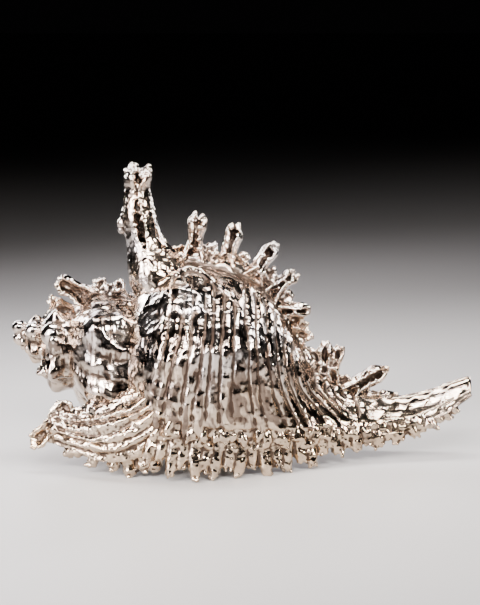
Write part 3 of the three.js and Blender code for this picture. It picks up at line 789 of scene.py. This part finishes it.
def gutter(
    mould, rng, foot, first, last, length, width, hollow_way, fold=95.0, folds=SPINE_FOLD, widths=SPINE_WIDTH,
    sunk=4.0, wall=1.5, ripple=1.0, lobes=1.2, ribs=0.0, rib_count=9, rib_sweep=0.0, beads=1.0,
    closed_tip=True,
):
    """A folded spine: a gutter on a bending line, with rippled rims, a lobed tip and beads on its edges."""
    first, last = unit(first), unit(last)
    whole = length + sunk
    count = max(int(whole / POINT_STEP), 7)
    points = max(int(math.radians(2 * fold) * width / 2 / POINT_STEP), 9)
    t = np.linspace(0, 1, count)[:, None]
    a = np.linspace(-1, 1, points)[None, :]
    centre = foot - first * sunk + first * whole * t * (1 - t / 2) + last * whole * t * t / 2
    forward = unit(first * (1 - t) + last * t)
    hollow = unit(hollow_way - forward * (forward @ hollow_way)[:, None])
    side = np.cross(forward, hollow)
    phase = rng.uniform(0, 6.28, 8)
    sway = 1 + 0.07 * np.sin(5 * t + phase[0]) + 0.05 * np.sin(11 * t + phase[1])
    radius = width / 2 * along(widths, t) * sway
    half = np.radians(fold * along(folds, t) * (1 + 0.05 * np.sin(7 * t + phase[2])))
    rim = np.abs(a) ** 5
    run = t * whole
    long_wave, short_wave = RIM_WAVES
    wave = np.sin(2 * np.pi * run / long_wave + phase[3] + 1.5 * np.sign(a))
    wave = wave + 0.5 * np.sin(2 * np.pi * run / short_wave + phase[4])
    out = radius + rim * (0.16 * radius + 0.35 * ripple * wave) * smoothstep(0.05, 0.3, t)
    swept = a + rib_sweep * (1 - t) ** 2 + 0.05 * np.sin(9 * a + 4 * t)
    swell = 0.8 + 0.3 * np.sin(5 * t + 7 * swept)
    swell = swell + 0.3 * np.sin(23 * t + 11 * swept) * smoothstep(0.1, 0.4, t)
    out = out + ribs * swell * (np.abs(np.cos(swept * rib_count * np.pi / 2)) - 0.5)
    angle = a * half
    tip = smoothstep(0.72, 1.0, t)
    curl = 0.85 * smoothstep(0.8, 1.0, t) if closed_tip else 0 * t
    lobe = 0.6 * np.cos(2.2 * a * np.pi + phase[5]) + 0.3 * np.cos(4 * a * np.pi + phase[6])
    stretch = tip * lobes * lobe
    thick = np.minimum(wall * (1 + 0.15 * np.sin(9 * t + phase[7])), 0.8 * out)

    def arc(distance):
        depth = 0.3 * radius - distance * np.cos(angle) * (1 - curl)
        across = distance * np.sin(angle)
        shift = hollow[:, None, :] * depth[..., None] + side[:, None, :] * across[..., None]
        return centre[:, None, :] + shift + forward[:, None, :] * stretch[..., None]

    outer, inner = arc(out), arc(out - thick)
    rings = np.concatenate([outer, inner[:, ::-1]], 1)
    mould.add(rings.reshape(-1, 3), ring_faces(count, 2 * points))
    edge = (outer + inner) / 2
    for column in (0, points - 1):
        for i in range(count // 3, count, 4):
            if rng.random() < 0.6:
                place = edge[i, column] + rng.normal(0, 0.2, 3)
                mould.beads.append((place, beads * rng.uniform(0.7, 1.0)))
    for j in range(0, points, 5):
        mould.beads.append((edge[-1, j] + rng.normal(0, 0.2, 3), beads * rng.uniform(0.85, 1.25)))
    return edge[-1]


def spine(mould, rng, foot, theta, first, last, length, width, **shape):
    """A gutter on the coil, hollow to the way of growth. First and last are its lean and forward angles."""
    ways = leaning(theta, *first), leaning(theta, *last)
    gutter(mould, rng, foot, *ways, length, width, growth_way(theta), **shape)


def frills(mould, rng, varix, places, leans, longest):
    """Frills between the spines of a varix, one in front of another; leans are set by u."""
    for u in places:
        phi = varix + rng.uniform(-4, 5)
        lean = np.interp(u, *leans) + rng.uniform(-12, 12)
        spine(
            mould, rng, surface(phi, u, 0.5), LIP_THETA + phi, (lean, 10), (lean, 35),
            rng.uniform(2.2, longest), rng.uniform(2.6, 3.8), fold=75, wall=1.1, lobes=0.5, beads=0.7, sunk=2,
        )


def spines_object(name, mould, voxel, values):
    """Fuses a mould's spines and beads into one skin, crinkles it and hands it over."""
    beads = np.array([np.append(place, size) for place, size in mould.beads])
    solid = np.concatenate(mould.points)
    points = np.concatenate([solid, beads[:, :3]])
    bead = np.concatenate([np.zeros(len(solid)), beads[:, 3] * 0.001])
    obj = mesh_object(name, points, mould.faces, {"bead": bead})
    use_tree(obj, shared_tree("Rim beads", bead_tree), {"Bead Scale": 1.0, "Material": values["Material"]})
    remesh = obj.modifiers.new("Fuse", "REMESH")
    remesh.mode = "VOXEL"
    remesh.voxel_size = voxel * 0.001
    remesh.use_smooth_shade = True
    relax = obj.modifiers.new("Relax", "SMOOTH")
    relax.factor = 0.5
    relax.iterations = 2
    dress(obj, shared_tree("Spine crinkle", crinkle_tree), values)


def upper_varix(mould, rng):
    """The spines of the crest, the frills between them and the tall spine with its knobs."""
    theta = LIP_THETA - 120
    for u, length, lean, width in UPPER_SPINES:
        spine(
            mould, rng, surface(-120, u, 1), theta, (0.8 * lean, -4), (1.2 * lean, -4), length - 1.0, width,
            fold=146 if length > 9 else 105, wall=1.8, lobes=1.8,
        )
    frills(mould, rng, -120, np.arange(60, 160, 2.6), UPPER_FRILL_LEANS, 4.6)
    gutter(
        mould, rng, surface(-120, 55, 2), (-0.52, 0.05, 0.85), (0.12, -0.05, 0.98), 47.0, 16,
        np.array([0.0, -1, 0]), fold=164, sunk=7, wall=3.2, ripple=0.35, lobes=2.2, beads=1.3,
        closed_tip=False,
        widths=((0, 1.6), (0.2, 1.35), (0.4, 1.02), (0.7, 0.86), (0.86, 0.76), (0.94, 0.86), (1, 0.74)),
        folds=((0, 1.08), (0.25, 1.07), (0.5, 1.06), (0.85, 1.05), (1, 0.88)),
    )
    # The knob on the tall spine's left edge, where the fold bulges, and the beads of its tip.
    for step, size in ((0.0, 2.9), (2.6, 2.3), (-2.8, 2.2)):
        mould.beads.append((np.array([-49.9 + 0.2 * step, -2.0, 103.0 + step]), size))
    for step in range(7):
        place = np.array([-48.5 + 1.05 * step, -3.0 + rng.normal(0, 1), 126.3 - rng.uniform(0, 2.5)])
        mould.beads.append((place, 1.25))


def lip_fringe(mould, rng):
    """The pleated fringe, a long frond and a short one by turns, with a row of small folds above it."""
    u = 66.0
    long_one = True
    while u < 190:
        base_length, base_lean, base_width = (float(along(FRINGE, u, column)) for column in (1, 2, 3))
        lean = base_lean + rng.uniform(-7, 7)
        length = base_length * (1.0 if long_one else 0.74) * rng.uniform(0.9, 1.04)
        width = base_width * rng.uniform(1.15, 1.4)
        turn = rng.uniform(-8, 10)
        spine(
            mould, rng, surface(-2, u, 2.0), LIP_THETA, (0.7 * lean, FRINGE_FORWARD + turn),
            (1.4 * lean, FRINGE_FORWARD + 8 - turn), length, width, fold=116, sunk=3, wall=1.35, ripple=1.7,
            lobes=1.8, beads=0.85, closed_tip=False, widths=((0, 1.5), (0.35, 1.05), (0.75, 0.95), (1, 0.62)),
        )
        long_one = not long_one
        u += base_width * 0.95
    for u in np.arange(66, 178, 1.5):
        lean = float(along(FRINGE, u, 2)) + rng.uniform(-14, 14)
        phi = rng.choice((-4.0, -10.0)) + rng.uniform(-2.0, 2.0)
        spine(
            mould, rng, surface(phi, u, 0.8), LIP_THETA, (lean, 24), (lean, 66), rng.uniform(3.2, 6.2),
            rng.uniform(3.0, 4.6), fold=100, sunk=2, wall=1.1, lobes=0.9, beads=0.8,
        )


def wing(mould, rng):
    """The lip's flare towards the spire: thick rolls that sweep down, and fingers along its edge."""
    end = gutter(
        mould, rng, np.array([-32.0, -35.5, 30]), [-0.62, -0.05, -0.78], [-0.92, 0.38, 0.22], 57, 22,
        unit([0.15, 0.95, -0.3]), fold=60, sunk=12, wall=3.4, ripple=0.6, lobes=1.6, ribs=2.5,
        rib_count=ROLLS, rib_sweep=0.2, beads=1.2, closed_tip=False,
        widths=((0, 0.8), (0.3, 1.06), (0.6, 1.08), (0.85, 0.92), (1, 0.78)),
    )
    for k in range(ROLLS + 1):
        mould.beads.append((end[round(k * (len(end) - 1) / ROLLS)], rng.uniform(1.9, 2.5)))
    for foot, first, last, length, width, hollow_way in FINGERS:
        gutter(
            mould, rng, np.array(foot, float), first, last, length - 1, width, unit(hollow_way), fold=98,
            wall=1.8, lobes=0.8, beads=0.9,
        )


def far_varix(mould, rng):
    """The spines of the far varix, the two that the shell leans on, and the frills."""
    theta = LIP_THETA - 240
    for u, length, lean, width in FAR_SPINES:
        spine(
            mould, rng, surface(-240, u, 1), theta, (0.8 * lean,), (1.2 * lean,), length - 1, width, fold=115,
            wall=1.9, lobes=1.2,
        )
    for u, length, width, first, last in ((42, 44, 11, (-16,), (4, -46)), (85, 29, 9, (6,), (10, -50))):
        spine(
            mould, rng, surface(-240, u, 1), theta, first, last, length, width, fold=122, wall=2.0, lobes=1.2,
        )
    frills(mould, rng, -240, np.arange(46, 156, 3.4), FAR_FRILL_LEANS, 4.2)


def spire_varices(mould, rng):
    """The spines and frills of the spire's varices."""
    for phi, u, length, lean, width in SPIRE_SPINES:
        spine(
            mould, rng, surface(phi, u, 0.6), LIP_THETA + phi, (lean,), (1.5 * lean,), length - 0.7, width,
            fold=125, sunk=2.5, wall=2.2, lobes=0.7, beads=0.9,
        )
    for varix, start, count in ((-480, 36, 2), (-600, 28, 1)):
        for u in start + 4.6 * np.arange(count):
            phi = varix + rng.uniform(-4, 4)
            spine(
                mould, rng, surface(phi, u, 0.8), LIP_THETA + phi, (rng.uniform(-25, 0), 10),
                (rng.uniform(-25, 0), 35), rng.uniform(2.4, 3.6), rng.uniform(4.5, 5.5), fold=80, wall=1.4,
                lobes=0.4, beads=1.0, sunk=2,
            )


def spire_knobs(mould, rng):
    """The smooth knobs of the spire, and a short tube below them."""
    rows, around = 26, 40
    polar = np.linspace(0.02, np.pi - 0.02, rows)[:, None]
    turn = np.linspace(0, 2 * np.pi, around, endpoint=False)[None, :]
    wide = np.sin(polar)
    ball = np.stack([np.cos(polar) + 0 * turn, wide * np.cos(turn), wide * np.sin(turn)], -1)
    for x, y, z, radius in SPIRE_KNOBS:
        mould.add((np.array([x, y, z]) + radius * ball).reshape(-1, 3), ring_faces(rows, around))
    gutter(
        mould, rng, np.array([-62.4, -19, 29.5]), [0, -0.8, -0.6], [0, -0.9, -0.45], 6, 4.8,
        unit([0, -0.6, 0.8]), fold=164, sunk=3, wall=1.4, lobes=0.3, beads=0.7, closed_tip=False,
    )


# Materials


def mixed_color(tree, factor, color, second):
    made = node(tree, "ShaderNodeMix", {0: factor, 6: color, 7: (*second, 1)}, data_type="RGBA")
    return made.outputs[2]


def blotches(tree, place, scale, detail, roughness):
    inputs = {"Vector": place, "Scale": scale, "Detail": detail, "Roughness": roughness}
    return node(tree, "ShaderNodeTexNoise", inputs).outputs[0]


def ranged(tree, value, low, high, first, last):
    """Goes from first to last as the value goes from low to high."""
    inputs = {"Value": value, "From Min": low, "From Max": high, "To Min": first, "To Max": last}
    return node(tree, "ShaderNodeMapRange", inputs).outputs[0]


def silver_material(finish):
    """Polished silver plate: warm and cool patches, painted dark reflections in patches and streaks, painted
    shade in the hollows, a painted darker reflection low down, and a fine grain.
    """
    material = bpy.data.materials.new("silver_plate")
    material.use_nodes = True
    tree = material.node_tree
    shader = tree.nodes["Principled BSDF"]
    shader.inputs["Metallic"].default_value = 1.0
    place = node(tree, "ShaderNodeTexCoord").outputs["Object"]
    tint = node(tree, "ShaderNodeValToRGB", {"Fac": blotches(tree, place, 45.0, 3.0, 0.55)})
    cool, warm = tint.color_ramp.elements
    cool.position, cool.color = 0.36, (*finish.cool_silver, 1)
    warm.position, warm.color = 0.66, (*finish.warm_silver, 1)
    # Painted reflection: the plate turns darker and warmer towards the bottom.
    height = node(tree, "ShaderNodeSeparateXYZ", {"Vector": place}).outputs["Z"]
    color = mixed_color(tree, ranged(tree, height, 0.06, 0.014, 0.0, 0.85), tint.outputs[0], finish.painted_low_reflection)
    # Painted dark reflections: random patches mixed towards the dark colour.
    dark_reflection_patch = ranged(tree, blotches(tree, place, 120.0, 4.0, 0.6), 0.55, 0.68, 0.0, 0.75)
    color = mixed_color(tree, dark_reflection_patch, color, finish.painted_dark_reflection)
    # The streaks are noise about zero; their low places are dark: painted dark reflections along the ribs.
    streak = node(tree, "ShaderNodeAttribute", attribute_name="streak").outputs["Fac"]
    color = mixed_color(tree, ranged(tree, streak, -0.005, -0.05, 0.0, 0.9), color, finish.painted_dark_reflection)
    # The recess is in millimetres; points that lie deep among their neighbours are darkened: painted shade in
    # the recesses.
    recess = node(tree, "ShaderNodeAttribute", attribute_name="recess").outputs["Fac"]
    hollow = ranged(tree, recess, 0.01, 0.16, 0.0, 0.96)
    color = mixed_color(tree, hollow, color, finish.painted_recess_shade)
    tree.links.new(color, shader.inputs["Base Color"])
    cloud = blotches(tree, place, 260.0, 4.0, 0.6)
    dull = ranged(tree, cloud, 0.35, 0.75, finish.polish, finish.polish + 0.16)
    tree.links.new(plus(tree, dull, times(tree, hollow, 0.22)), shader.inputs["Roughness"])
    finer = times(tree, blotches(tree, place, 2200.0, 2.0, 0.5), 0.25)
    pits = plus(tree, blotches(tree, place, 700.0, 3.0, 0.55), finer)
    bump = node(tree, "ShaderNodeBump", {"Strength": 0.3, "Distance": 0.0003, "Height": pits})
    tree.links.new(bump.outputs[0], shader.inputs["Normal"])
    return material


def floor_material(color):
    material = bpy.data.materials.new("studio_floor")
    material.use_nodes = True
    shader = material.node_tree.nodes["Principled BSDF"]
    shader.inputs["Base Color"].default_value = (*color, 1)
    shader.inputs["Roughness"].default_value = 0.45
    return material


# Settings


class ShellRelief(bpy.types.PropertyGroup):
    """Sizes of the relief on the whorls and spines."""

    rib_height: FloatProperty(
        name="Rib height", description="Height of the spiral ribs", default=0.0013, unit="LENGTH"
    )
    rib_spacing: FloatProperty(
        name="Rib spacing", description="Distance from one spiral rib to the next", default=0.0043,
        unit="LENGTH",
    )
    thread_height: FloatProperty(
        name="Thread height", description="Height of the fine threads on the ribs", default=0.00012,
        unit="LENGTH",
    )
    line_height: FloatProperty(
        name="Growth line height", description="Height of the growth lines", default=0.00006, unit="LENGTH"
    )
    lump_height: FloatProperty(
        name="Lump height", description="Height of the lumps", default=0.0008, unit="LENGTH"
    )
    lump_size: FloatProperty(
        name="Lump size", description="Width of the lumps", default=0.0065, unit="LENGTH"
    )
    grain_height: FloatProperty(
        name="Grain height", description="Height of the plating's grain", default=0.0002, unit="LENGTH"
    )
    grain_size: FloatProperty(
        name="Grain size", description="Width of the plating's grain", default=0.0027, unit="LENGTH"
    )
    seed: IntProperty(name="Seed", description="Chooses the pattern of lumps, frills and beads", default=7)


class ShellFinish(bpy.types.PropertyGroup):
    """Colours and polish of the silver."""

    cool_silver: FloatVectorProperty(
        name="Cool silver", description="Colour of the cooler patches", subtype="COLOR",
        default=(0.62, 0.575, 0.55),
    )
    warm_silver: FloatVectorProperty(
        name="Warm silver", description="Colour of the warmer patches", subtype="COLOR",
        default=(0.66, 0.51, 0.385),
    )
    # Painted shade: the dark colour that the recesses are mixed towards.
    painted_recess_shade: FloatVectorProperty(
        name="Hollows", description="Colour in the hollows", subtype="COLOR", default=(0.06, 0.04, 0.03)
    )
    # Painted reflection: the darker, warmer colour of the plate low down.
    painted_low_reflection: FloatVectorProperty(
        name="Low_reflection", description="Colour of the plate low down", subtype="COLOR",
        default=(0.48, 0.365, 0.25),
    )
    # Painted reflection: the dark colour of the patches and streaks.
    painted_dark_reflection: FloatVectorProperty(
        name="Dark_reflection", description="Colour of the darkened patches", subtype="COLOR",
        default=(0.15, 0.11, 0.088),
    )
    polish: FloatProperty(
        name="Polish", description="Roughness where the silver is brightest", default=0.07, min=0
    )


class ShellStage(bpy.types.PropertyGroup):
    """Floor, light and camera."""

    floor_color: FloatVectorProperty(
        name="Floor", description="Colour of the floor", subtype="COLOR", default=(0.40, 0.39, 0.382)
    )
    world_color: FloatVectorProperty(
        name="Room", description="Colour of the room round the stage", subtype="COLOR",
        default=(0.0014, 0.0013, 0.0014),
    )
    camera_distance: FloatProperty(
        name="Camera distance", description="From the camera to the middle of the shell", default=0.75,
        unit="LENGTH",
    )
    camera_elevation: FloatProperty(
        name="Camera elevation", description="Angle of the camera above the horizon",
        default=math.radians(10), subtype="ANGLE",
    )


def relief_values(context, share, lump_share):
    """The inputs of the whorls' relief: shares of the ribs' and of the lumps' height."""
    relief = context.scene.shell_relief
    return {
        "Rib Height": relief.rib_height * share, "Rib Spacing": relief.rib_spacing,
        "Thread Height": relief.thread_height * share, "Growth Line Height": relief.line_height,
        "Lump Height": relief.lump_height * lump_share, "Lump Size": relief.lump_size,
        "Grain Height": relief.grain_height * lump_share, "Grain Size": relief.grain_size,
        "Seed": float(relief.seed), "Material": shared_material(context.scene.shell_finish),
    }


def shared_material(finish):
    return bpy.data.materials.get("silver_plate") or silver_material(finish)


def shared_tree(name, make):
    return bpy.data.node_groups.get(name) or make()


def spine_values(context, lump_share):
    relief = context.scene.shell_relief
    return {
        "Lump Height": relief.lump_height * 0.5 * lump_share, "Lump Size": SPINE_LUMP_SIZE,
        "Grain Height": relief.grain_height, "Grain Size": SPINE_GRAIN_SIZE, "Seed": float(relief.seed),
        "Material": shared_material(context.scene.shell_finish),
    }


def build_spines(context, name, makers, voxel, seed_step, lump_share=1.0):
    """One piece from functions that fill its mould; voxel is in millimetres."""
    rng = np.random.default_rng(context.scene.shell_relief.seed + seed_step)
    mould = Mould()
    for make in makers:
        make(mould, rng)
    spines_object(name, mould, voxel, spine_values(context, lump_share))


class SHELL_OT_last_turn(bpy.types.Operator):
    """The last turn of the coil with the canal, in thirds from varix to varix"""

    bl_idname = "shell.last_turn"
    bl_label = "Last turn"

    def execute(self, context):
        tree = shared_tree("Whorl relief", whorl_relief_tree)
        values = relief_values(context, 1.0, 1.7)
        for name, start, rows, columns, canal_count in LAST_TURN:
            whorl_third(name, start, rows, columns, canal_count, tree, values)
        return {"FINISHED"}


class SHELL_OT_spire(bpy.types.Operator):
    """The earlier turns of the coil and the apex"""

    bl_idname = "shell.spire"
    bl_label = "Spire"

    def execute(self, context):
        phi = np.concatenate([np.arange(*span) for span in SPIRE_SPANS])
        inset = 0.6 * smoothstep(-360, -354, phi)
        points, around, extra, u, _ = coil_mesh(phi, even_shares(SPIRE_COLUMNS, 0.6), 0, inset)
        faces = side_faces(len(phi), around) + cap_faces(u[0], SPIRE_COLUMNS, 0, False)
        faces += cap_faces(u[-1], SPIRE_COLUMNS, (len(phi) - 1) * around, True)
        tree = shared_tree("Whorl relief", whorl_relief_tree)
        dress(mesh_object("spire", points, faces, extra), tree, relief_values(context, 0.14, 1.6))
        return {"FINISHED"}


class SHELL_OT_upper_varix(bpy.types.Operator):
    """The spines and frills that stand up along the upper varix"""

    bl_idname = "shell.upper_varix"
    bl_label = "Upper varix"

    def execute(self, context):
        build_spines(context, "upper_varix", [upper_varix], 0.45, 1, 1.7)
        return {"FINISHED"}


class SHELL_OT_lip(bpy.types.Operator):
    """The fringe of the outer lip"""

    bl_idname = "shell.lip"
    bl_label = "Lip fringe"

    def execute(self, context):
        build_spines(context, "lip_fringe", [lip_fringe], 0.42, 2, 1.5)
        return {"FINISHED"}


class SHELL_OT_wing(bpy.types.Operator):
    """The lip's ribbed flare towards the spire"""

    bl_idname = "shell.wing"
    bl_label = "Lip flare"

    def execute(self, context):
        build_spines(context, "lip_flare", [wing], 0.4, 3, 3.0)
        return {"FINISHED"}


class SHELL_OT_far_varix(bpy.types.Operator):
    """The spines of the far varix, with the two that the shell leans on"""

    bl_idname = "shell.far_varix"
    bl_label = "Far varix"

    def execute(self, context):
        build_spines(context, "far_varix", [far_varix], 0.48, 4)
        return {"FINISHED"}


class SHELL_OT_spire_spines(bpy.types.Operator):
    """The spines and frills of the spire, and the apex"""

    bl_idname = "shell.spire_spines"
    bl_label = "Spire spines"

    def execute(self, context):
        build_spines(context, "spire_spines", [spire_varices, spire_knobs], 0.42, 5, 0.9)
        return {"FINISHED"}


class SHELL_OT_stage(bpy.types.Operator):
    """The floor, the lights and the camera"""

    bl_idname = "shell.stage"
    bl_label = "Stage"

    def execute(self, context):
        stage = context.scene.shell_stage
        signs = ((-1, -1), (1, -1), (1, 1), (-1, 1))
        corners = [(FLOOR_HALF * x, FLOOR_HALF * y, FLOOR_TOP) for x, y in signs]
        floor = mesh_object("floor", corners, [(0, 1, 2, 3)])
        floor.data.materials.append(floor_material(stage.floor_color))
        for light in LIGHTS:
            add_softbox(*light)
        world = bpy.data.worlds.new("room")
        world.use_nodes = True
        world.node_tree.nodes["Background"].inputs[0].default_value = (*stage.world_color, 1)
        context.scene.world = world
        add_camera(context.scene, stage)
        return {"FINISHED"}


def add_softbox(name, place, width, height, power, spread, color):
    light = bpy.data.lights.new(name, "AREA")
    light.shape = "RECTANGLE"
    light.size, light.size_y = width, height
    light.energy = power
    light.spread = math.radians(spread)
    light.color = color
    obj = bpy.data.objects.new(name, light)
    obj.location = place
    obj.rotation_euler = (Vector((0, 0, 0.05)) - Vector(place)).to_track_quat("-Z", "Y").to_euler()
    bpy.context.scene.collection.objects.link(obj)


def add_camera(scene, stage):
    target = Vector((-MIDDLE[0], -MIDDLE[1], AIM_HEIGHT)) * 0.001
    away = Vector((0, -math.cos(stage.camera_elevation), math.sin(stage.camera_elevation)))
    camera = bpy.data.cameras.new("camera")
    camera.sensor_width = 36.0
    camera.lens = camera.sensor_width * stage.camera_distance / FRAME_HEIGHT
    obj = bpy.data.objects.new("camera", camera)
    obj.location = target + away * stage.camera_distance
    obj.rotation_euler = (target - obj.location).to_track_quat("-Z", "Y").to_euler()
    scene.collection.objects.link(obj)
    scene.camera = obj


class SHELL_PT_panel(bpy.types.Panel):
    """The shell's pieces and settings"""

    bl_idname = "SHELL_PT_panel"
    bl_label = "Murex shell"
    bl_space_type = "VIEW_3D"
    bl_region_type = "UI"
    bl_category = "Shell"

    def draw(self, context):
        layout = self.layout
        for operator in OPERATORS:
            layout.operator(operator.bl_idname)
        for group in (context.scene.shell_relief, context.scene.shell_finish, context.scene.shell_stage):
            box = layout.box()
            for key in group.__annotations__:
                box.prop(group, key)


OPERATORS = (
    SHELL_OT_last_turn, SHELL_OT_spire, SHELL_OT_upper_varix, SHELL_OT_lip, SHELL_OT_wing, SHELL_OT_far_varix,
    SHELL_OT_spire_spines, SHELL_OT_stage,
)
CLASSES = (ShellRelief, ShellFinish, ShellStage, *OPERATORS, SHELL_PT_panel)


def register():
    for cls in CLASSES:
        bpy.utils.register_class(cls)
    bpy.types.Scene.shell_relief = PointerProperty(type=ShellRelief)
    bpy.types.Scene.shell_finish = PointerProperty(type=ShellFinish)
    bpy.types.Scene.shell_stage = PointerProperty(type=ShellStage)


def unregister():
    del bpy.types.Scene.shell_stage
    del bpy.types.Scene.shell_finish
    del bpy.types.Scene.shell_relief
    for cls in reversed(CLASSES):
        bpy.utils.unregister_class(cls)


def main():
    register()
    for operator in OPERATORS:
        group, name = operator.bl_idname.split(".")
        getattr(getattr(bpy.ops, group), name)()


if __name__ == "__main__":
    main()
